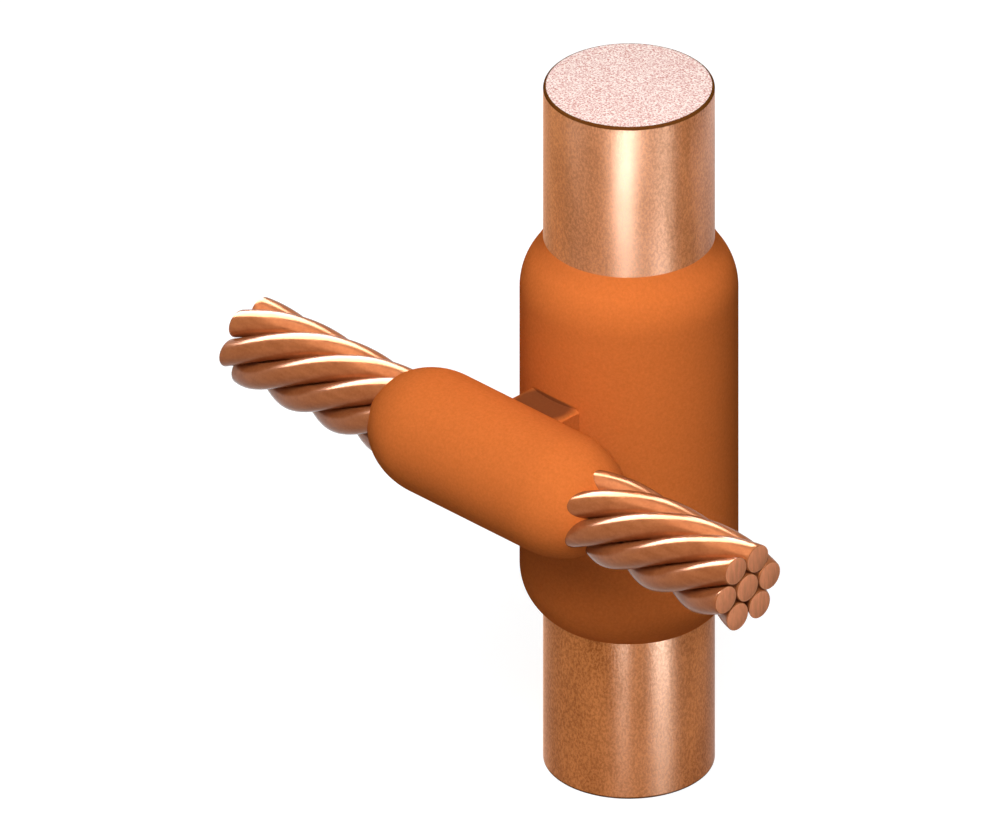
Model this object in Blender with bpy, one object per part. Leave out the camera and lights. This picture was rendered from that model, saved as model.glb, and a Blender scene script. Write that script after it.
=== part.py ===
"""Welded earthing joint: an earth rod and a seven-wire copper conductor held in one block of weld metal.

The origin is the centre of the rod's lower cut face. +Z runs up the rod, and +X runs along the
conductor, which passes the rod on its -Y side.
"""

import math

import bmesh
import bpy

mm = 0.001

# Earth rod: bare round bar, cut square at both ends
rod_diameter = 17.2 * mm
rod_edge_chamfer = 0.25 * mm
rod_lower_stub = 17.95 * mm
rod_upper_stub = 17.2 * mm

# Sleeve of weld metal round the rod, its length measured between the mouths where it meets the rod
sleeve_wall = 2.35 * mm
sleeve_length = 42.4 * mm
sleeve_foot_radius = 6.0 * mm
sleeve_shoulder_radius = 6.8 * mm
sleeve_shoulder_slope = math.radians(35)
sleeve_mouth_slope = math.radians(22)

# Conductor: one straight core wire and a left-hand layer of outer wires. The near end is the one at +X
wire_diameter = 3.0 * mm
wire_gap = 0.1 * mm
outer_wire_count = 6
lay_length = 38.2 * mm
lay_angle_at_cut = math.radians(2.5)
cable_near_stub = 21.6 * mm
cable_far_stub = 21.0 * mm
cable_above_sleeve_middle = 2.4 * mm

# Barrel of weld metal round the conductor, its length measured where it meets the tops of the wires
barrel_wall = 1.85 * mm
barrel_length = 27.6 * mm
barrel_nose_length = 7.75 * mm
barrel_rib_height = 0.35 * mm

# Neck of weld metal between the sleeve and the barrel
neck_width = 6.8 * mm
neck_height = 8.2 * mm
neck_span = 1.2 * mm
neck_edge_chamfer = 0.35 * mm

# Clearance between the weld metal and what it grips, and the distance at which vertices are one
seat_gap = 0.25 * mm
merge_distance = 0.001 * mm

# How finely the round forms are divided
rod_segments = 64
sleeve_foot_steps = 6
sleeve_shoulder_steps = 5
sleeve_flare_steps = 2
barrel_segments = 48
barrel_nose_steps = 8
core_wire_segments = 20
outer_wire_segments = 12
flute_steps = 6
lay_steps_per_turn = 27
sharp_angle = math.radians(35)

# Worked out from the sizes above
rod_radius = rod_diameter / 2
rod_length = rod_lower_stub + sleeve_length + rod_upper_stub
sleeve_radius = rod_radius + sleeve_wall
sleeve_middle = rod_lower_stub + sleeve_length / 2
wire_radius = wire_diameter / 2
half_wire_angle = math.pi / outer_wire_count
lay_radius = (wire_diameter + wire_gap) / (2 * math.sin(half_wire_angle))
cable_radius = lay_radius + wire_radius
cable_near_end = barrel_length / 2 + cable_near_stub
cable_far_end = -barrel_length / 2 - cable_far_stub
cable_height = sleeve_middle + cable_above_sleeve_middle
barrel_radius = cable_radius + barrel_wall
cable_offset = sleeve_radius + neck_span + barrel_radius
cable_axis_point = (0, -cable_offset, cable_height)

# The flutes of the cable's bore: one to a wire, each meeting the next at a rib midway between wires
flute_radius = wire_radius + seat_gap
rib_reach_share = min(lay_radius * math.sin(half_wire_angle) / flute_radius, 1)
flute_flank_angle = half_wire_angle + math.asin(rib_reach_share)
rib_crest_radius = flute_radius * math.sin(flute_flank_angle) / math.sin(half_wire_angle)

# The sleeve's shoulder draws in to the shoulder slope, and its flare then eases it to the mouth slope
shoulder_inset = sleeve_shoulder_radius * (1 - math.cos(sleeve_shoulder_slope))
shoulder_rise = sleeve_shoulder_radius * math.sin(sleeve_shoulder_slope)
flare_inset_share = math.cos(sleeve_mouth_slope) - math.cos(sleeve_shoulder_slope)
flare_radius = (sleeve_wall - shoulder_inset) / flare_inset_share
flare_rise = flare_radius * (math.sin(sleeve_shoulder_slope) - math.sin(sleeve_mouth_slope))


def clear_scene():
    for obj in list(bpy.data.objects):
        bpy.data.objects.remove(obj)


def metal(name, color, roughness):
    """A bare metal with one colour over its whole surface."""
    made = bpy.data.materials.new(name)
    made.use_nodes = True
    shader = made.node_tree.nodes["Principled BSDF"]
    shader.inputs["Base Color"].default_value = (*color, 1)
    shader.inputs["Roughness"].default_value = roughness
    shader.inputs["Metallic"].default_value = 1
    return made


def finish_object(name, bm, material=None):
    """Turns a bmesh into an object with its faces outwards, smooth sides and sharp edges."""
    bmesh.ops.remove_doubles(bm, verts=bm.verts, dist=merge_distance)
    bmesh.ops.recalc_face_normals(bm, faces=bm.faces)
    mesh = bpy.data.meshes.new(name)
    bm.to_mesh(mesh)
    bm.free()
    mesh.shade_smooth()
    mesh.set_sharp_from_angle(angle=sharp_angle)
    if material:
        mesh.materials.append(material)
    obj = bpy.data.objects.new(name, mesh)
    bpy.context.collection.objects.link(obj)
    return obj


def as_tool(obj):
    """Marks an object that only shapes another one, and isn't a piece itself."""
    obj.hide_render = True
    obj.display_type = "WIRE"
    return obj


def boolean(obj, operation, tool):
    modifier = obj.modifiers.new(f"{operation} {tool.name}", "BOOLEAN")
    modifier.operation = operation
    modifier.object = tool
    modifier.solver = "EXACT"


def turned(name, profile, segments, material=None):
    """A solid of revolution about Z, from (radius, height) points that run from pole to pole or in a ring."""
    bm = bmesh.new()
    points = [bm.verts.new((radius, 0, height)) for radius, height in profile]
    pairs = list(zip(points, points[1:]))
    is_ring = profile[0][0] > 0
    if is_ring:
        pairs.append((points[-1], points[0]))
    edges = [bm.edges.new(pair) for pair in pairs]
    bmesh.ops.spin(
        bm,
        geom=points + edges,
        cent=(0, 0, 0),
        axis=(0, 0, 1),
        angle=math.tau,
        steps=segments,
        use_merge=True,
    )
    return finish_object(name, bm, material)


def lay_angle(x):
    """Where the first outer wire lies round the cable's axis: it falls as x grows, as in a left-hand lay."""
    return lay_angle_at_cut + math.tau * (cable_near_end - x) / lay_length


def laid_bar(name, section, near_end, far_end, material=None):
    """A section of (radius, angle) points square to the cable, swept along it while it turns with the lay.

    The lay twists its side faces, so each is split into two flat triangles.
    """
    bm = bmesh.new()
    start_angle = lay_angle(near_end)
    corners = []
    for radius, angle in section:
        y = radius * math.cos(angle + start_angle)
        z = radius * math.sin(angle + start_angle)
        corners.append(bm.verts.new((near_end, y, z)))
    first_face = bm.faces.new(corners)
    length = near_end - far_end
    turns = length / lay_length
    steps = math.ceil(turns * lay_steps_per_turn)
    bmesh.ops.spin(
        bm,
        geom=[first_face, *first_face.edges, *first_face.verts],
        cent=(0, 0, 0),
        axis=(1, 0, 0),
        dvec=(-length / steps, 0, 0),
        angle=math.tau * turns,
        steps=steps,
    )
    bmesh.ops.triangulate(bm, faces=bm.faces)
    obj = finish_object(name, bm, material)
    obj.location = cable_axis_point
    return obj


def arc_about_wire(index, radius, angles):
    """Points of an arc about an outer wire's centre, as (radius, angle) about the cable's axis."""
    wire_angle = 2 * half_wire_angle * index
    points = []
    for angle in angles:
        outward = lay_radius + radius * math.cos(angle)
        sideways = radius * math.sin(angle)
        points.append((math.hypot(outward, sideways), math.atan2(sideways, outward) + wire_angle))
    return points


def outer_wire_section(index):
    angles = [math.tau * i / outer_wire_segments for i in range(outer_wire_segments)]
    return arc_about_wire(index, wire_radius, angles)


def fluted_section():
    """The outline of the laid cable with its seat gap round it."""
    angles = [flute_flank_angle * (2 * i / flute_steps - 1) for i in range(flute_steps)]
    section = []
    for index in range(outer_wire_count):
        section += arc_about_wire(index, flute_radius, angles)
    return section


def build_earth_rod():
    chamfer_start = rod_radius - rod_edge_chamfer
    profile = [
        (0, 0),
        (chamfer_start, 0),
        (rod_radius, rod_edge_chamfer),
        (rod_radius, rod_length - rod_edge_chamfer),
        (chamfer_start, rod_length),
        (0, rod_length),
    ]
    turned("earth_rod", profile, rod_segments, metal("drawn_copper", (0.78, 0.42, 0.22), 0.32))


def build_conductor():
    copper = metal("wire_copper", (0.80, 0.42, 0.20), 0.25)
    profile = [
        (0, cable_far_end),
        (wire_radius, cable_far_end),
        (wire_radius, cable_near_end),
        (0, cable_near_end),
    ]
    core = turned("core_wire", profile, core_wire_segments, copper)
    core.location = cable_axis_point
    core.rotation_euler.y = math.pi / 2
    for index in range(outer_wire_count):
        laid_bar(f"outer_wire_{index + 1}", outer_wire_section(index), cable_near_end, cable_far_end, copper)


def bent_wall(start, bend_radius, first_slope, last_slope, steps):
    """Points that go on from a (radius, height) point, up an arc that bends from one slope to another.

    A slope is the angle by which the wall draws in towards the rod as it rises.
    """
    radius, height = start
    signed_radius = math.copysign(bend_radius, last_slope - first_slope)
    points = []
    for i in range(1, steps + 1):
        slope = first_slope + (last_slope - first_slope) * i / steps
        run = signed_radius * (math.cos(slope) - math.cos(first_slope))
        rise = signed_radius * (math.sin(slope) - math.sin(first_slope))
        points.append((radius + run, height + rise))
    return points


def sleeve_profile():
    """A closed ring: a round foot, the straight wall, a round shoulder with its flare, and the rod's bore.

    Its length is measured where the foot and the flare would reach the rod.
    """
    foot_slope_at_rod = math.acos(1 - sleeve_wall / sleeve_foot_radius)
    foot_slope_at_bore = math.acos(1 - (sleeve_wall - seat_gap) / sleeve_foot_radius)
    wall_start = sleeve_foot_radius * math.sin(foot_slope_at_rod) - sleeve_length / 2
    foot_start = wall_start - sleeve_foot_radius * math.sin(foot_slope_at_bore)
    profile = [(rod_radius + seat_gap, foot_start)]
    profile += bent_wall(profile[-1], sleeve_foot_radius, -foot_slope_at_bore, 0, sleeve_foot_steps)

    profile.append((sleeve_radius, sleeve_length / 2 - flare_rise - shoulder_rise))
    profile += bent_wall(profile[-1], sleeve_shoulder_radius, 0, sleeve_shoulder_slope, sleeve_shoulder_steps)
    bore_slope = math.acos(math.cos(sleeve_mouth_slope) - seat_gap / flare_radius)
    profile += bent_wall(profile[-1], flare_radius, sleeve_shoulder_slope, bore_slope, sleeve_flare_steps)
    return profile


def barrel_profile():
    """From pole to pole. Each nose is part of an ellipse as wide as the barrel, barrel_nose_length long.

    The length is measured where the noses meet the tops of the wires. They go on drawing in until they stand
    a rib's height above the ribs' crests.
    """

    def nose_angle(reached_radius):
        return math.acos(reached_radius / barrel_radius)

    nose_start = barrel_length / 2 - barrel_nose_length * math.sin(nose_angle(cable_radius))
    nose_end_radius = rib_crest_radius + barrel_rib_height
    near_nose = []
    for i in range(barrel_nose_steps + 1):
        angle = nose_angle(nose_end_radius) * i / barrel_nose_steps
        near_nose.append((barrel_radius * math.cos(angle), nose_start + barrel_nose_length * math.sin(angle)))
    near_nose.append((0, near_nose[-1][1]))
    far_nose = [(radius, -x) for radius, x in reversed(near_nose)]
    return far_nose + near_nose


def neck_form():
    """A block from the rod's axis to the cable's axis, to be trimmed back to the walls that it joins."""
    bm = bmesh.new()
    bmesh.ops.create_cube(bm, size=1)
    bmesh.ops.scale(bm, vec=(neck_width, cable_offset, neck_height), verts=bm.verts)
    long_edges = [edge for edge in bm.edges if edge.verts[0].co.y * edge.verts[1].co.y < 0]
    bmesh.ops.bevel(bm, geom=long_edges, offset=neck_edge_chamfer, segments=1, profile=0.5, affect="EDGES")
    form = finish_object("neck_form", bm)
    form.location = (0, -cable_offset / 2, cable_height)
    return as_tool(form)


def neck_trimmer():
    """A cylinder that cuts the neck's root back to the middle of the sleeve's wall."""
    trim_radius = rod_radius + (sleeve_wall + seat_gap) / 2
    profile = [(0, -sleeve_length / 2), (trim_radius, -sleeve_length / 2)]
    profile += [(r, -z) for r, z in reversed(profile)]
    trimmer = turned("neck_trimmer", profile, rod_segments)
    trimmer.location.z = sleeve_middle
    return as_tool(trimmer)


def barrel_and_neck():
    form = turned("barrel_and_neck", barrel_profile(), barrel_segments)
    form.location = cable_axis_point
    form.rotation_euler.y = math.pi / 2
    bore_end = barrel_length / 2 + barrel_nose_length
    cable_bore = laid_bar("cable_bore", fluted_section(), bore_end, -bore_end)
    boolean(form, "UNION", neck_form())
    boolean(form, "DIFFERENCE", neck_trimmer())
    boolean(form, "DIFFERENCE", as_tool(cable_bore))
    return as_tool(form)


def build_weld_metal():
    """One casting: a sleeve bored for the rod, a barrel fluted for the laid cable, and a neck between."""
    weld = turned("weld_metal", sleeve_profile(), rod_segments, metal("cast_copper", (0.62, 0.24, 0.07), 0.5))
    weld.location.z = sleeve_middle
    boolean(weld, "UNION", barrel_and_neck())


clear_scene()
build_earth_rod()
build_conductor()
build_weld_metal()
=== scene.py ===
"""Welded earth rod joint: its finished pieces, materials, lamps and camera.

Lengths are in metres. The origin is the centre of the rod's lower cut face, +Z runs up the rod, and
+X runs along the conductor, which passes the rod on its -Y side.
"""

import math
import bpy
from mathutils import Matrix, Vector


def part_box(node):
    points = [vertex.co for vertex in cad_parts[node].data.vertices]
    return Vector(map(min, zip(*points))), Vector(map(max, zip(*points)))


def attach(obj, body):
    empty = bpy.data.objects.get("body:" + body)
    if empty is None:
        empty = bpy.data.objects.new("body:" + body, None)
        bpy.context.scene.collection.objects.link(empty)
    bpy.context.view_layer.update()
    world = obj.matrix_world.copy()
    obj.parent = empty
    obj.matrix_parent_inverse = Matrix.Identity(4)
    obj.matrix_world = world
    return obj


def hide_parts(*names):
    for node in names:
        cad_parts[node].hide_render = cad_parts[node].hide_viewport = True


bl_info = {
    "name": "Welded earth rod joint",
    "version": (1, 0, 0),
    "blender": (4, 5, 0),
    "location": "3D View > Sidebar > Earth joint",
    "description": "Makes an earth rod welded to a seven-wire conductor, with its finishes and a studio",
    "category": "Add Mesh",
}

import bmesh
import bpy
from bpy.props import FloatProperty, FloatVectorProperty, IntProperty, PointerProperty
from bpy.types import Operator, Panel, PropertyGroup
from mathutils import Matrix, Vector

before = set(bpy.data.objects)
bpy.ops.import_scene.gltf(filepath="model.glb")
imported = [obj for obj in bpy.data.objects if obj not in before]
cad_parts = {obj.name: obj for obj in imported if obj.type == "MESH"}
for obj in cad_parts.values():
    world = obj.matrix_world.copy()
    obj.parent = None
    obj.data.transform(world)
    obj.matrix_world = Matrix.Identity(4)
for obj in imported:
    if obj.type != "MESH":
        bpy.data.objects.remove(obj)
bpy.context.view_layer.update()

mm = 0.001

# Read from the frame: the rod, the weld metal and the core wire, and where the wire's axis passes the rod
rod_low, rod_high = (Vector(corner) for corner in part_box("earth_rod"))
weld_low, weld_high = (Vector(corner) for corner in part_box("weld_metal"))
core_low, core_high = (Vector(corner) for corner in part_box("core_wire"))
crossing = Vector((0, core_low.y + core_high.y, core_low.z + core_high.z)) / 2
wire_radius = (core_high.z - core_low.z) / 2
outer_wire_count = 6
half_wire_angle = math.pi / outer_wire_count

# How finely round forms are divided
rod_segments = 256
sleeve_segments = 192
barrel_segments = 160
trimmer_segments = 96
wire_steps_per_turn = 100
bore_steps_per_turn = 96
round_steps = 20
flare_steps = 10

merge_distance = 0.0005 * mm
plane_tolerance = 0.001 * mm
sharp_angle = math.radians(32)

# Places in the rod's and the wires' lists of materials
cut_face = 1
rim = 2


# Settings


class RodSettings(PropertyGroup):
    radius: FloatProperty(
        name="Radius", description="Radius of the earth rod",
        default=rod_high.x, min=mm, unit="LENGTH",
    )
    # The rounded rim round each cut face; its dark colour is painted shade.
    edge: FloatProperty(
        name="Edge", description="Size of the worn rim round each cut face",
        default=0.28 * mm, min=0, unit="LENGTH",
    )
    side_color: FloatVectorProperty(
        name="Side", description="Colour of the drawn side",
        default=(0.35, 0.106, 0.020), subtype="COLOR", min=0, max=1,
    )
    face_color: FloatVectorProperty(
        name="Cut face", description="Colour of the cut faces",
        default=(0.93, 0.70, 0.63), subtype="COLOR", min=0, max=1,
    )


class WeldSettings(PropertyGroup):
    sleeve_length: FloatProperty(
        name="Sleeve length", description="From mouth to mouth along the rod",
        default=42.4 * mm, min=mm, unit="LENGTH",
    )
    sleeve_drop: FloatProperty(
        name="Sleeve drop", description="How far the sleeve's middle lies below the conductor",
        default=2.4 * mm, unit="LENGTH",
    )
    foot_radius: FloatProperty(
        name="Foot radius", description="Radius of the sleeve's lower end",
        default=6.0 * mm, min=mm, unit="LENGTH",
    )
    shoulder_radius: FloatProperty(
        name="Shoulder radius", description="Radius of the sleeve's upper end",
        default=6.8 * mm, min=mm, unit="LENGTH",
    )
    shoulder_slope: FloatProperty(
        name="Shoulder slope", description="How far the shoulder bends in before it flares",
        default=math.radians(35), subtype="ANGLE",
    )
    mouth_slope: FloatProperty(
        name="Mouth slope", description="How steeply the flare meets the rod",
        default=math.radians(22), subtype="ANGLE",
    )
    barrel_length: FloatProperty(
        name="Barrel length", description="From mouth to mouth along the conductor",
        default=27.6 * mm, min=mm, unit="LENGTH",
    )
    barrel_nose: FloatProperty(
        name="Barrel nose", description="Length of the barrel's round ends",
        default=7.75 * mm, min=mm, unit="LENGTH",
    )
    neck_width: FloatProperty(
        name="Neck width", description="Width of the neck along the conductor",
        default=6.8 * mm, min=mm, unit="LENGTH",
    )
    neck_height: FloatProperty(
        name="Neck height", description="Height of the neck along the rod",
        default=8.2 * mm, min=mm, unit="LENGTH",
    )
    neck_edge: FloatProperty(
        name="Neck edge", description="Chamfer of the neck's long edges",
        default=0.35 * mm, min=0, unit="LENGTH",
    )
    seam: FloatProperty(
        name="Seam", description="Clearance between the weld metal and what it grips",
        default=0.02 * mm, min=0, unit="LENGTH",
    )
    color: FloatVectorProperty(
        name="Colour", description="Colour of the cast weld metal",
        default=(0.62, 0.155, 0.034), subtype="COLOR", min=0, max=1,
    )


class WireSettings(PropertyGroup):
    gap: FloatProperty(
        name="Gap", description="Clearance between neighbouring wires",
        default=0.1 * mm, min=0, unit="LENGTH",
    )
    lay_length: FloatProperty(
        name="Lay length", description="Length in which an outer wire goes once round",
        default=38.2 * mm, min=mm, unit="LENGTH",
    )
    lay_angle: FloatProperty(
        name="Lay angle", description="Where the first outer wire lies at the near cut",
        default=math.radians(2.5), subtype="ANGLE",
    )
    edge: FloatProperty(
        name="Edge", description="Size of the rounding round each cut face",
        default=0.06 * mm, min=0, unit="LENGTH",
    )
    sides: IntProperty(
        name="Sides", description="Sides of an outer wire's section",
        default=36, min=8, max=64,
    )
    side_color: FloatVectorProperty(
        name="Side", description="Colour of the drawn wire",
        default=(0.37, 0.120, 0.040), subtype="COLOR", min=0, max=1,
    )
    face_color: FloatVectorProperty(
        name="Cut face", description="Colour of the wires' cut faces",
        default=(0.74, 0.28, 0.135), subtype="COLOR", min=0, max=1,
    )


class StudioSettings(PropertyGroup):
    floor_color: FloatVectorProperty(
        name="Floor", description="Colour of the floor",
        default=(0.25, 0.25, 0.25), subtype="COLOR", min=0, max=1,
    )
    ambient: FloatProperty(
        name="Ambient", description="Light from all round",
        default=0.03, min=0,
    )
    key: FloatProperty(
        name="Key lamp", description="Brightness of the key lamp's face",
        default=10, min=0,
    )
    front: FloatProperty(
        name="Front lamp", description="Brightness of the low front lamp's face",
        default=1.4, min=0,
    )
    back: FloatProperty(
        name="Back lamp", description="Brightness of the back lamp's face",
        default=3, min=0,
    )
    strips: FloatProperty(
        name="Strip lamps", description="Brightness of the strip lamps' faces",
        default=80, min=0,
    )
    overhead: FloatProperty(
        name="Overhead lamp", description="Brightness of the overhead lamp's face",
        default=45, min=0,
    )


class JointSettings(PropertyGroup):
    rod: PointerProperty(type=RodSettings)
    weld: PointerProperty(type=WeldSettings)
    wires: PointerProperty(type=WireSettings)
    studio: PointerProperty(type=StudioSettings)


# Shader maths


class Signal:
    """A number that varies over a surface. Sums and products of signals add the nodes that work them out."""

    def __init__(self, tree, socket):
        self.tree = tree
        self.socket = socket

    def _maths(self, operation, first, second):
        node = self.tree.nodes.new("ShaderNodeMath")
        node.operation = operation
        for socket, value in zip(node.inputs, (first, second)):
            if isinstance(value, Signal):
                self.tree.links.new(value.socket, socket)
            else:
                socket.default_value = value
        return Signal(self.tree, node.outputs[0])

    def __add__(self, other):
        return self._maths("ADD", self, other)

    __radd__ = __add__

    def __sub__(self, other):
        return self._maths("SUBTRACT", self, other)

    def __rsub__(self, other):
        return self._maths("SUBTRACT", other, self)

    def __mul__(self, other):
        return self._maths("MULTIPLY", self, other)

    __rmul__ = __mul__


class Nodes:
    """The nodes of a material or of the world."""

    def __init__(self, tree):
        self.tree = tree
        tree.nodes.clear()

    def node(self, kind, settings=None, sockets=None):
        """A node of one type, with its settings made first and then the values or links of its sockets."""
        made = self.tree.nodes.new(kind)
        for key, value in (settings or {}).items():
            setattr(made, key, value)
        for key, value in (sockets or {}).items():
            self.feed(made.inputs[key], value)
        return made

    def feed(self, socket, value):
        """Links the socket to a signal or another socket, or sets it to a number, a vector or a colour."""
        if isinstance(value, Signal):
            value = value.socket
        if isinstance(value, bpy.types.NodeSocket):
            self.tree.links.new(value, socket)
        elif hasattr(value, "__len__") and len(value) == 3 and socket.type == "RGBA":
            socket.default_value = (*value, 1)
        else:
            socket.default_value = value

    def seen(self):
        """A signal that is 1 for what is seen, also in reflections, and 0 for the light on matt surfaces."""
        rays = self.node("ShaderNodeLightPath").outputs
        seen = Signal(self.tree, rays["Is Camera Ray"]) + Signal(self.tree, rays["Is Glossy Ray"])
        return seen + Signal(self.tree, rays["Is Transmission Ray"])


class Finish(Nodes):
    """A material and the nodes that make it up."""

    def __init__(self, name):
        self.material = bpy.data.materials.new(name)
        self.material.use_nodes = True
        super().__init__(self.material.node_tree)
        self.output = self.node("ShaderNodeOutputMaterial")
        self.place = self.node("ShaderNodeTexCoord").outputs["Object"]

    def noise(self, scale, detail=2, roughness=0.5, stretch=(1, 1, 1)):
        """A signal about 0.5 from noise with grains 1 / scale metres across before they are stretched."""
        mapping = self.node(
            "ShaderNodeMapping", {"vector_type": "TEXTURE"}, {"Vector": self.place, "Scale": stretch}
        )
        texture = self.node(
            "ShaderNodeTexNoise",
            {"noise_dimensions": "3D"},
            {"Vector": mapping.outputs[0], "Scale": scale, "Detail": detail, "Roughness": roughness},
        )
        return Signal(self.tree, texture.outputs[0])

    def ramped(self, signal, low, high):
        """The signal taken from its range low to high to 0 to 1, and held there beyond."""
        node = self.node(
            "ShaderNodeMapRange", {"clamp": True}, {"Value": signal, "From Min": low, "From Max": high}
        )
        return Signal(self.tree, node.outputs[0])

    def blend(self, share, first, second):
        """A colour between two, by share. The node numbers its colour sockets 6 and 7, and the result 2."""
        node = self.node("ShaderNodeMix", {"data_type": "RGBA"}, {0: share, 6: first, 7: second})
        return node.outputs[2]

    def bump(self, height, distance, strength):
        """The surface's direction, made uneven by the height signal."""
        sockets = {"Height": height, "Distance": distance, "Strength": strength}
        return self.node("ShaderNodeBump", None, sockets).outputs[0]

    def surface(self, sockets):
        """Ends the material in one Principled surface."""
        shader = self.node("ShaderNodeBsdfPrincipled", None, sockets)
        self.feed(self.output.inputs["Surface"], shader.outputs[0])
        return self.material


def toned(color, *shares):
    """The colour with a share of its red, of its green and of its blue."""
    return tuple(min(part * share, 1) for part, share in zip(color, shares))


# Materials


def drawn_side(settings):
    """The rod's side: satin copper with a fine even grain, smoked in long soft patches."""
    finish = Finish("drawn_copper_side")
    grain = finish.ramped(finish.noise(4600, detail=1, roughness=0.8, stretch=(1, 1, 1.6)), 0.37, 0.63)
    patches = finish.ramped(finish.noise(260, detail=2, stretch=(1, 1, 3.5)), 0.35, 0.65)
    worn = grain * 0.62 + patches * 0.38
    dark = toned(settings.side_color, 0.60, 0.50, 0.26)
    light = toned(settings.side_color, 1.34, 1.46, 1.90)
    return finish.surface({
        "Base Color": finish.blend(worn, dark, light),
        "Metallic": 0.75,
        "Roughness": 0.40 - grain * 0.08,
        "Specular IOR Level": 0.7,
        "Specular Tint": (0.6, 0.5, 0.45),
        "Anisotropic": 0.75,
        "Anisotropic Rotation": 0.25,
        "Normal": finish.bump(grain, 0.010 * mm, 0.5),
    })


def cut_rod_face(settings):
    """The rod's cut face: pale, with a fine pink speckle from the saw and the file."""
    finish = Finish("cut_rod_face")
    speckle = finish.ramped(finish.noise(5200, detail=1, roughness=0.8), 0.36, 0.60)
    deep = toned(settings.face_color, 0.70, 0.44, 0.42)
    pale = toned(settings.face_color, 1.07, 1.22, 1.26)
    return finish.surface({
        "Base Color": finish.blend(speckle, deep, pale),
        "Metallic": 0,
        "Roughness": 0.6,
        "Specular IOR Level": 0,
        "Normal": finish.bump(speckle, 0.006 * mm, 0.5),
    })


def painted_shade_rim(settings):
    """The rim between the rod's side and its cut faces: painted shade, dark and matt, so that it reflects no
    lamp.
    """
    finish = Finish("painted_shade_rim")
    grain = finish.noise(2800, detail=2)
    dark = toned(settings.side_color, 0.24, 0.24, 0.24)
    light = toned(settings.side_color, 0.48, 0.48, 0.48)
    return finish.surface({
        "Base Color": finish.blend(grain, dark, light),
        "Metallic": 0,
        "Roughness": 0.6,
        "Specular IOR Level": 0,
        "Normal": finish.bump(grain, 0.010 * mm, 0.5),
    })


def cast_weld(settings):
    """Weld metal as it leaves the mould: matt orange copper, with painted shade on the neck's top, in the
    corner by the barrel.
    """
    finish = Finish("cast_weld_metal")
    grain = finish.ramped(finish.noise(3200, detail=3, roughness=0.7), 0.3, 0.7)
    dark = toned(settings.color, 0.85, 0.83, 0.74)
    clean = finish.blend(grain, dark, settings.color)

    # Painted shade: a flat patch on the neck's top, where it meets the barrel's back, is darkened to near
    # black.
    corner = Vector((0, 2 * crossing.y - weld_low.y, crossing.z + settings.neck_height / 2))
    flattening = (1, 1, 0.14)
    from_corner = finish.node(
        "ShaderNodeMapping",
        {"vector_type": "TEXTURE"},
        {"Vector": finish.place, "Location": corner, "Scale": flattening},
    )
    reach = finish.node("ShaderNodeVectorMath", {"operation": "LENGTH"}, {0: from_corner.outputs[0]})
    painted_shade = 1 - finish.ramped(Signal(finish.tree, reach.outputs["Value"]), 2.7 * mm, 3.8 * mm)
    painted_shade_color = (0.07, 0.024, 0.012)
    return finish.surface({
        "Base Color": finish.blend(painted_shade * 0.75, clean, painted_shade_color),
        "Metallic": 0,
        "Roughness": 0.6 + grain * 0.06,
        "Specular IOR Level": 0,
        "Normal": finish.bump(grain, 0.008 * mm, 0.5),
    })


def drawn_wire(settings):
    """Bright drawn wire with faint die lines along it."""
    finish = Finish("drawn_wire")
    grain = finish.noise(3600, detail=3, roughness=0.6)
    lines = finish.noise(1500, detail=2, stretch=(7, 1, 1))
    tone = finish.ramped(lines * 0.6 + grain * 0.4, 0.36, 0.64)
    dark = toned(settings.side_color, 0.80, 0.72, 0.66)
    return finish.surface({
        "Base Color": finish.blend(tone, dark, settings.side_color),
        "Metallic": 0.26,
        "Roughness": 0.17 + grain * 0.08,
        "Specular IOR Level": 0.15,
        "Specular Tint": (0.7, 0.6, 0.55),
        "Normal": finish.bump(grain, 0.006 * mm, 0.4),
    })


def cut_wire_face(settings):
    """A wire's cut face: matt, with the lines that the shears drew across it."""
    finish = Finish("cut_wire_face")
    lines = finish.noise(2600, detail=3, roughness=0.65, stretch=(1, 1, 5))
    tone = finish.ramped(lines, 0.34, 0.66)
    dark = toned(settings.face_color, 0.76, 0.76, 0.76)
    return finish.surface({
        "Base Color": finish.blend(tone, dark, settings.face_color),
        "Metallic": 0.04,
        "Roughness": 0.6,
        "Specular IOR Level": 0.04,
        "Normal": finish.bump(lines, 0.020 * mm, 0.6),
    })


# Shapes


def smooth(mesh):
    """Shades the mesh smooth but for its sharp edges."""
    mesh.shade_smooth()
    mesh.set_sharp_from_angle(angle=sharp_angle)


def finish_piece(name, bm, materials):
    """Makes the bmesh an object at the origin, with its faces outwards."""
    bmesh.ops.remove_doubles(bm, verts=bm.verts, dist=merge_distance)
    bmesh.ops.recalc_face_normals(bm, faces=bm.faces)
    mesh = bpy.data.meshes.new(name)
    bm.to_mesh(mesh)
    bm.free()
    for material in materials:
        mesh.materials.append(material)
    smooth(mesh)
    obj = bpy.data.objects.new(name, mesh)
    bpy.context.scene.collection.objects.link(obj)
    return obj


def declare(obj, node):
    """Hangs a finished piece on the root body and hides the CAD node that it stands for."""
    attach(obj, "root")
    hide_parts(node)


def spun(profile, segments):
    """A closed form turned about Z from (radius, height) points that run from pole to pole or in a ring."""
    bm = bmesh.new()
    points = [bm.verts.new((radius, 0, height)) for radius, height in profile]
    pairs = list(zip(points, points[1:]))
    if profile[0][0] > 0:
        pairs.append((points[-1], points[0]))
    edges = [bm.edges.new(pair) for pair in pairs]
    bmesh.ops.spin(
        bm,
        geom=points + edges,
        cent=(0, 0, 0),
        axis=(0, 0, 1),
        angle=math.tau,
        steps=segments,
        use_merge=True,
    )
    return bm


def lie_on_cable(bm):
    """Turns a form made about Z to lie along the cable."""
    bmesh.ops.rotate(bm, verts=bm.verts, cent=(0, 0, 0), matrix=Matrix.Rotation(math.pi / 2, 3, "Y"))
    bmesh.ops.translate(bm, verts=bm.verts, vec=crossing)
    return bm


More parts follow.
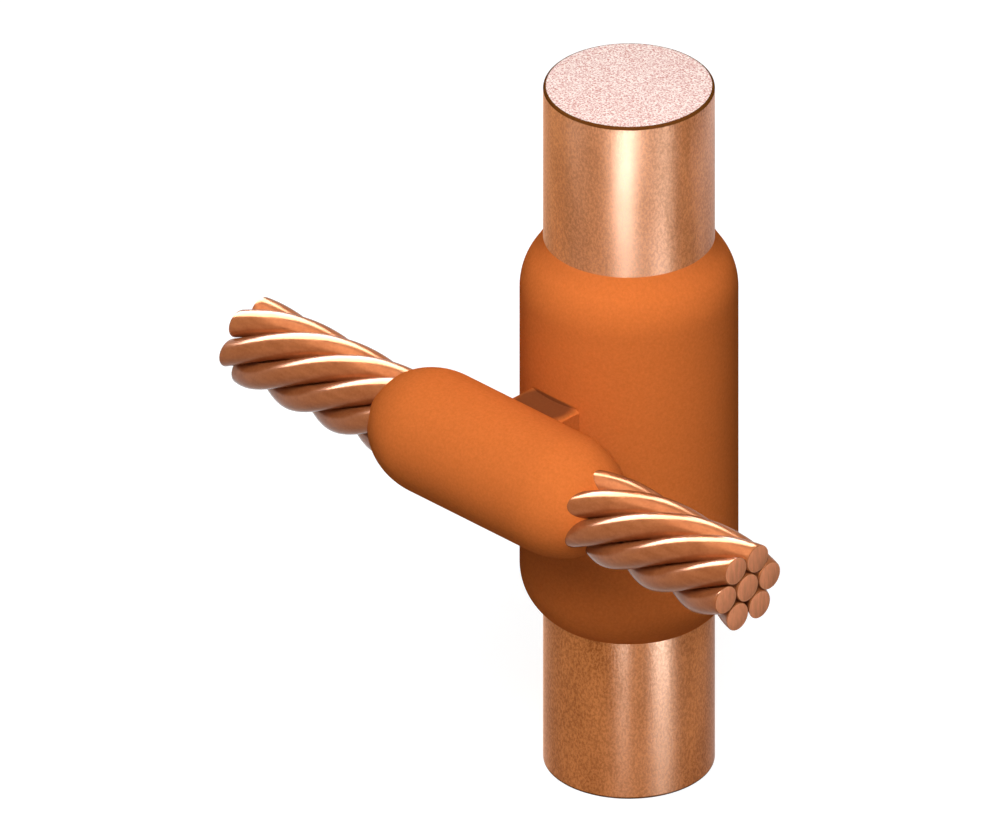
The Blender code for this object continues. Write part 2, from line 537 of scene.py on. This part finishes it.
def swept_with_lay(section, near_end, far_end, settings, steps_per_turn):
    """A section of (radius, angle) points square to the cable, swept along it while it turns with the lay."""
    bm = bmesh.new()
    start = settings.lay_angle + math.tau * (core_high.x - near_end) / settings.lay_length
    corners = []
    for radius, angle in section:
        y = radius * math.cos(angle + start)
        z = radius * math.sin(angle + start)
        corners.append(bm.verts.new((near_end, y, z)))
    face = bm.faces.new(corners)
    turns = (near_end - far_end) / settings.lay_length
    steps = math.ceil(turns * steps_per_turn)
    bmesh.ops.spin(
        bm,
        geom=[face, *face.edges, *face.verts],
        cent=(0, 0, 0),
        axis=(1, 0, 0),
        dvec=((far_end - near_end) / steps, 0, 0),
        angle=math.tau * turns,
        steps=steps,
    )
    bmesh.ops.translate(bm, verts=bm.verts, vec=crossing)
    return bm


def lay_radius(settings):
    """From the cable's axis to the middle of an outer wire."""
    return (2 * wire_radius + settings.gap) / (2 * math.sin(half_wire_angle))


def arc_about_wire(index, radius, angles, settings):
    """Points of an arc about an outer wire's middle, as (radius, angle) about the cable's axis."""
    points = []
    for angle in angles:
        outward = lay_radius(settings) + radius * math.cos(angle)
        sideways = radius * math.sin(angle)
        turned = math.atan2(sideways, outward) + 2 * half_wire_angle * index
        points.append((math.hypot(outward, sideways), turned))
    return points


def bent_wall(start, bend_radius, first_slope, last_slope, steps):
    """Points that go on from a (radius, height) point, up an arc that bends from one slope to another.

    A slope is the angle by which the wall draws in as it rises.
    """
    radius, height = start
    signed_radius = math.copysign(bend_radius, last_slope - first_slope)
    points = []
    for i in range(1, steps + 1):
        slope = first_slope + (last_slope - first_slope) * i / steps
        run = signed_radius * (math.cos(slope) - math.cos(first_slope))
        rise = signed_radius * (math.sin(slope) - math.sin(first_slope))
        points.append((radius + run, height + rise))
    return points


def tool(name, bm):
    """A form that only shapes another one."""
    obj = finish_piece(name, bm, ())
    obj.hide_render = True
    return obj


def shape_with(obj, *steps):
    """Joins or cuts the object with each tool in turn, keeps the result, and removes the tools."""
    for operation, cutter in steps:
        modifier = obj.modifiers.new(cutter.name, "BOOLEAN")
        modifier.operation = operation
        modifier.object = cutter
        modifier.solver = "EXACT"
    graph = bpy.context.evaluated_depsgraph_get()
    shaped = bpy.data.meshes.new_from_object(obj.evaluated_get(graph))
    obj.modifiers.clear()
    former = obj.data
    obj.data = shaped
    shaped.name = obj.name
    bpy.data.meshes.remove(former)
    for _, cutter in steps:
        bpy.data.objects.remove(cutter)


def mark_cut_faces(bm, axis, low, high):
    """Gives the faces that lie in the two cut planes their own material."""
    for face in bm.faces:
        middle = face.calc_center_median()[axis]
        if min(abs(middle - low), abs(middle - high)) < plane_tolerance:
            face.material_index = cut_face


# Pieces


class EARTHJOINT_OT_rod(Operator):
    """Make the earth rod, with its drawn side and its cut faces"""

    bl_idname = "earthjoint.rod"
    bl_label = "Earth rod"

    def execute(self, context):
        settings = context.scene.earth_joint.rod
        edge = settings.edge
        corner_steps = 5
        corner = []
        for i in range(corner_steps + 1):
            angle = math.pi / 2 * i / corner_steps
            corner.append((settings.radius - edge * (1 - math.cos(angle)), edge * (1 - math.sin(angle))))
        lower = [(r, rod_low.z + z) for r, z in reversed(corner)]
        upper = [(r, rod_high.z - z) for r, z in corner]
        bm = spun([(0, rod_low.z), *lower, *upper, (0, rod_high.z)], rod_segments)
        mark_cut_faces(bm, 2, rod_low.z, rod_high.z)
        # The rim's faces take the dark rim material, whose darkness is painted shade.
        for face in bm.faces:
            on_side = rod_low.z + edge < face.calc_center_median().z < rod_high.z - edge
            if face.material_index != cut_face and not on_side:
                face.material_index = rim
        materials = (drawn_side(settings), cut_rod_face(settings), painted_shade_rim(settings))
        declare(finish_piece("rod_bar", bm, materials), "earth_rod")
        return {"FINISHED"}


class EARTHJOINT_OT_weld(Operator):
    """Make the weld metal: a sleeve round the rod, a barrel round the conductor and the neck between"""

    bl_idname = "earthjoint.weld"
    bl_label = "Weld metal"

    def execute(self, context):
        settings = context.scene.earth_joint.weld
        wires = context.scene.earth_joint.wires
        sleeve = self.sleeve(settings)
        barrel = self.barrel(settings, wires)
        shape_with(
            barrel,
            ("UNION", self.neck(settings)),
            ("DIFFERENCE", self.neck_trimmer(settings)),
            ("DIFFERENCE", self.cable_bore(settings, wires)),
        )
        shape_with(sleeve, ("UNION", barrel))
        smooth(sleeve.data)
        if not sleeve.data.polygons:
            raise RuntimeError("The weld metal came out empty")
        declare(sleeve, "weld_metal")
        return {"FINISHED"}

    def sleeve(self, settings):
        """A ring: a round foot, the straight wall, a round shoulder with its flare, and the rod's bore."""
        wall = weld_high.y - rod_high.x
        half = settings.sleeve_length / 2
        foot_slope = math.acos(1 - wall / settings.foot_radius)
        bore_foot_slope = math.acos(1 - (wall - settings.seam) / settings.foot_radius)
        foot_height = settings.foot_radius * (math.sin(foot_slope) - math.sin(bore_foot_slope)) - half
        profile = [(rod_high.x + settings.seam, foot_height)]
        profile += bent_wall(profile[-1], settings.foot_radius, -bore_foot_slope, 0, round_steps)

        shoulder_cosine = math.cos(settings.shoulder_slope)
        flare = (wall - settings.shoulder_radius * (1 - shoulder_cosine)) / (
            math.cos(settings.mouth_slope) - shoulder_cosine
        )
        rise = settings.shoulder_radius * math.sin(settings.shoulder_slope)
        rise += flare * (math.sin(settings.shoulder_slope) - math.sin(settings.mouth_slope))
        profile.append((weld_high.y, half - rise))
        profile += bent_wall(profile[-1], settings.shoulder_radius, 0, settings.shoulder_slope, round_steps)
        bore_slope = math.acos(math.cos(settings.mouth_slope) - settings.seam / flare)
        profile += bent_wall(profile[-1], flare, settings.shoulder_slope, bore_slope, flare_steps)
        bm = spun(profile, sleeve_segments)
        bmesh.ops.translate(bm, verts=bm.verts, vec=(0, 0, crossing.z - settings.sleeve_drop))
        return finish_piece("weld_casting", bm, (cast_weld(settings),))

    def barrel(self, settings, wires):
        """From pole to pole, with noses that are part of an ellipse as wide as the barrel."""
        radius = crossing.y - weld_low.y
        grip_angle = math.acos((lay_radius(wires) + wire_radius) / radius)
        last_angle = math.acos(lay_radius(wires) * math.cos(half_wire_angle) / radius)
        nose_start = settings.barrel_length / 2 - settings.barrel_nose * math.sin(grip_angle)
        nose_steps = 32
        nose = []
        for i in range(nose_steps + 1):
            angle = last_angle * i / nose_steps
            nose.append((radius * math.cos(angle), nose_start + settings.barrel_nose * math.sin(angle)))
        nose.append((0, nose[-1][1]))
        far_nose = [(reached, -x) for reached, x in reversed(nose)]
        return tool("barrel_form", lie_on_cable(spun(far_nose + nose, barrel_segments)))

    def cable_bore(self, settings, wires):
        """The cable's own outline with a seam round it, as long as the barrel and its noses."""
        bore = wire_radius + settings.seam
        reach = min(lay_radius(wires) * math.sin(half_wire_angle) / bore, 1)
        flank = half_wire_angle + math.asin(reach)
        flute_steps = 20
        angles = [flank * (2 * i / flute_steps - 1) for i in range(flute_steps)]
        section = []
        for index in range(outer_wire_count):
            section += arc_about_wire(index, bore, angles, wires)
        end = settings.barrel_length / 2 + settings.barrel_nose
        bm = swept_with_lay(section, end, -end, wires, bore_steps_per_turn)
        bmesh.ops.triangulate(bm, faces=bm.faces)
        return tool("cable_bore", bm)

    def neck(self, settings):
        """A block from the rod's axis to the cable's, with its long edges chamfered."""
        bm = bmesh.new()
        reach = -crossing.y
        bmesh.ops.create_cube(bm, size=1)
        bmesh.ops.scale(bm, vec=(settings.neck_width, reach, settings.neck_height), verts=bm.verts)
        long_edges = [edge for edge in bm.edges if edge.verts[0].co.y * edge.verts[1].co.y < 0]
        bmesh.ops.bevel(
            bm,
            geom=long_edges,
            offset=settings.neck_edge,
            segments=1,
            profile=0.5,
            affect="EDGES",
            material=-1,
        )
        bmesh.ops.translate(bm, verts=bm.verts, vec=(0, -reach / 2, crossing.z))
        return tool("neck_form", bm)

    def neck_trimmer(self, settings):
        """Takes off what the neck has inside the sleeve, down to the middle of the sleeve's wall."""
        radius = (rod_high.x + settings.seam + weld_high.y) / 2
        half = settings.sleeve_length / 2
        bm = spun([(0, -half), (radius, -half), (radius, half), (0, half)], trimmer_segments)
        bmesh.ops.translate(bm, verts=bm.verts, vec=(0, 0, crossing.z - settings.sleeve_drop))
        return tool("neck_trimmer", bm)


class EARTHJOINT_OT_wires(Operator):
    """Make the conductor: one straight core wire and six wires laid round it"""

    bl_idname = "earthjoint.wires"
    bl_label = "Wires"

    def execute(self, context):
        settings = context.scene.earth_joint.wires
        materials = (drawn_wire(settings), cut_wire_face(settings))
        near_end, far_end = core_high.x, core_low.x
        profile = [(0, far_end), (wire_radius, far_end), (wire_radius, near_end), (0, near_end)]
        core = lie_on_cable(spun(profile, settings.sides))
        self.finish_wire("strand_core", "core_wire", core, settings, materials)
        circle = [math.tau * i / settings.sides for i in range(settings.sides)]
        for index in range(outer_wire_count):
            section = arc_about_wire(index, wire_radius, circle, settings)
            wire = swept_with_lay(section, near_end, far_end, settings, wire_steps_per_turn)
            self.finish_wire(f"strand_{index + 1}", f"outer_wire_{index + 1}", wire, settings, materials)
        return {"FINISHED"}

    def finish_wire(self, name, node, bm, settings, materials):
        """Rounds the edges of the two cuts, and gives the cuts their own finish."""
        bmesh.ops.remove_doubles(bm, verts=bm.verts, dist=merge_distance)
        ends = (core_low.x, core_high.x)
        rims = []
        for edge in bm.edges:
            for end in ends:
                on_cut = all(abs(vert.co.x - end) < plane_tolerance for vert in edge.verts)
                middles = [face.calc_center_median().x for face in edge.link_faces]
                if on_cut and any(abs(x - end) > plane_tolerance for x in middles):
                    rims.append(edge)
        bmesh.ops.bevel(
            bm,
            geom=rims,
            offset=settings.edge,
            segments=2,
            profile=0.5,
            affect="EDGES",
            material=-1,
        )
        mark_cut_faces(bm, 0, *ends)
        declare(finish_piece(name, bm, materials), node)


# Studio


def toward(azimuth, elevation):
    """The direction that lies at an azimuth, in degrees to the right of the camera's, and an elevation."""
    around = math.radians(azimuth - 45)
    up = math.radians(elevation)
    return Vector((math.cos(around) * math.cos(up), math.sin(around) * math.cos(up), math.sin(up)))


def softbox(name, part, aim, direction, distance, size, brightness, color=(1, 1, 1)):
    """A rectangular lamp that faces the aim. Its brightness is that of its face, where 1 is white.

    Its part is to light matt surfaces or to be mirrored in glossy ones. Its direction from the aim is
    an azimuth and an elevation.
    """
    light = bpy.data.lights.new(name, "AREA")
    light.shape = "RECTANGLE"
    light.size, light.size_y = size
    light.energy = brightness * math.pi * size[0] * size[1]
    light.color = color
    lamp = bpy.data.objects.new(name, light)
    lamp.location = aim + toward(*direction) * distance
    lamp.rotation_euler = toward(*direction).to_track_quat("Z", "Y").to_euler()
    lamp.visible_camera = False
    lamp.visible_diffuse = part == "matt"
    lamp.visible_glossy = part == "gloss"
    bpy.context.scene.collection.objects.link(lamp)
    return lamp


class EARTHJOINT_OT_studio(Operator):
    """Make the floor, the lamps, the surroundings and the camera"""

    bl_idname = "earthjoint.studio"
    bl_label = "Studio"

    def execute(self, context):
        settings = context.scene.earth_joint.studio
        self.floor(settings)
        self.surroundings(context.scene, settings)
        self.lamps(settings)
        self.camera(context.scene)
        context.scene.view_settings.view_transform = "Standard"
        return {"FINISHED"}

    def floor(self, settings):
        """White to look at, and dull for the light that falls on it, so that it shows a soft shadow."""
        glow = 0.88
        half_width = 1.5
        drop = 0.02 * mm
        finish = Finish("studio_floor")
        seen = finish.seen()
        matt = finish.node("ShaderNodeBsdfDiffuse", None, {"Color": settings.floor_color})
        white = finish.node("ShaderNodeEmission", None, {"Color": (1, 1, 1), "Strength": seen * glow})
        both = finish.node("ShaderNodeAddShader", None, {0: matt.outputs[0], 1: white.outputs[0]})
        finish.feed(finish.output.inputs["Surface"], both.outputs[0])
        bm = bmesh.new()
        bmesh.ops.create_grid(bm, x_segments=8, y_segments=8, size=half_width)
        bmesh.ops.translate(bm, verts=bm.verts, vec=(0, 0, -drop))
        finish_piece("studio_floor", bm, (finish.material,))

    def surroundings(self, scene, settings):
        """White to look at, with little light of their own on the matt surfaces."""
        scene.world = bpy.data.worlds.new("studio")
        scene.world.use_nodes = True
        world = Nodes(scene.world.node_tree)
        strength = settings.ambient + world.seen() * (1 - settings.ambient)
        background = world.node("ShaderNodeBackground", None, {"Color": (1, 1, 1), "Strength": strength})
        world.node("ShaderNodeOutputWorld", None, {"Surface": background.outputs[0]})

    def lamps(self, settings):
        """The photo's soft light, its sheen on the wires and its streaks on the rod."""
        middle = Vector((0, crossing.y / 2, crossing.z))
        sheen_share = 0.38
        cool = (0.6, 0.8, 1)
        softbox("key", "matt", middle, (-4, 53), 0.9, (0.6, 0.6), settings.key)
        softbox("key_sheen", "gloss", middle, (-4, 50), 0.9, (1.0, 1.0), settings.key * sheen_share)
        softbox("front", "matt", middle, (-4, 12), 0.9, (0.4, 0.4), settings.front)
        softbox("back", "matt", middle, (180, 8), 0.9, (0.6, 0.6), settings.back)
        softbox("overhead", "gloss", middle, (-152, 52), 0.7, (0.8, 0.8), settings.overhead, cool)

        # Copper mirrors these blue strips as white streaks. The wires would show them blue, so they light
        # the rod alone.
        blue = (0.15, 0.34, 1.0)
        top = Vector((0, 0, rod_high.z))
        foot = Vector((0, 0, rod_low.z))
        rod_alone = bpy.data.collections.new("rod_alone")
        rod_alone.objects.link(bpy.data.objects["rod_bar"])
        # Each strip's aim, direction, distance, size, and share of the strips' brightness
        strips = {
            "strip_front": (top, (-4, 35), 0.08, (0.015, 0.05), 16),
            "strip_right": (middle, (46, 4), 0.6, (0.20, 0.36), 1),
            "strip_left": (top, (-70, 35), 0.08, (0.010, 0.05), 4.2),
            "strip_back": (top, (127, 35), 0.08, (0.026, 0.05), 4.2),
            "low_front": (foot, (-7, 10), 0.05, (0.008, 0.02), 1),
            "low_right": (foot, (38, 10), 0.05, (0.016, 0.02), 1.2),
        }
        for name, (aim, direction, distance, size, share) in strips.items():
            strip = softbox(name, "gloss", aim, direction, distance, size, settings.strips * share, blue)
            strip.light_linking.receiver_collection = rod_alone

    def camera(self, scene):
        """The photo's parallel view, from 30 degrees above. The rod stands right of the picture's middle."""
        picture_width = 0.1
        distance = 0.6
        rod_offset = 12.9 * mm
        crossing_offset = 2.3 * mm
        data = bpy.data.cameras.new("photo_view")
        data.type = "ORTHO"
        data.ortho_scale = picture_width
        camera = bpy.data.objects.new("photo_view", data)
        back = toward(0, 30)
        right = toward(90, 0)
        up = back.cross(right)
        middle = Vector((0, 0, crossing.z)) - right * rod_offset - up * crossing_offset
        camera.location = middle + back * distance
        camera.rotation_euler = back.to_track_quat("Z", "Y").to_euler()
        scene.collection.objects.link(camera)
        scene.camera = camera


class EARTHJOINT_PT_panel(Panel):
    bl_idname = "EARTHJOINT_PT_panel"
    bl_label = "Welded earth rod joint"
    bl_space_type = "VIEW_3D"
    bl_region_type = "UI"
    bl_category = "Earth joint"

    def draw(self, context):
        joint = context.scene.earth_joint
        sections = (
            ("earthjoint.rod", joint.rod),
            ("earthjoint.weld", joint.weld),
            ("earthjoint.wires", joint.wires),
            ("earthjoint.studio", joint.studio),
        )
        for operator, settings in sections:
            box = self.layout.box()
            box.operator(operator)
            for name in settings.__annotations__:
                box.prop(settings, name)


classes = (
    RodSettings,
    WeldSettings,
    WireSettings,
    StudioSettings,
    JointSettings,
    EARTHJOINT_OT_rod,
    EARTHJOINT_OT_weld,
    EARTHJOINT_OT_wires,
    EARTHJOINT_OT_studio,
    EARTHJOINT_PT_panel,
)


def register():
    for cls in classes:
        bpy.utils.register_class(cls)
    bpy.types.Scene.earth_joint = PointerProperty(type=JointSettings)


def unregister():
    del bpy.types.Scene.earth_joint
    for cls in reversed(classes):
        bpy.utils.unregister_class(cls)


def main():
    register()
    bpy.ops.earthjoint.rod()
    bpy.ops.earthjoint.weld()
    bpy.ops.earthjoint.wires()
    bpy.ops.earthjoint.studio()


if __name__ == "__main__":
    main()
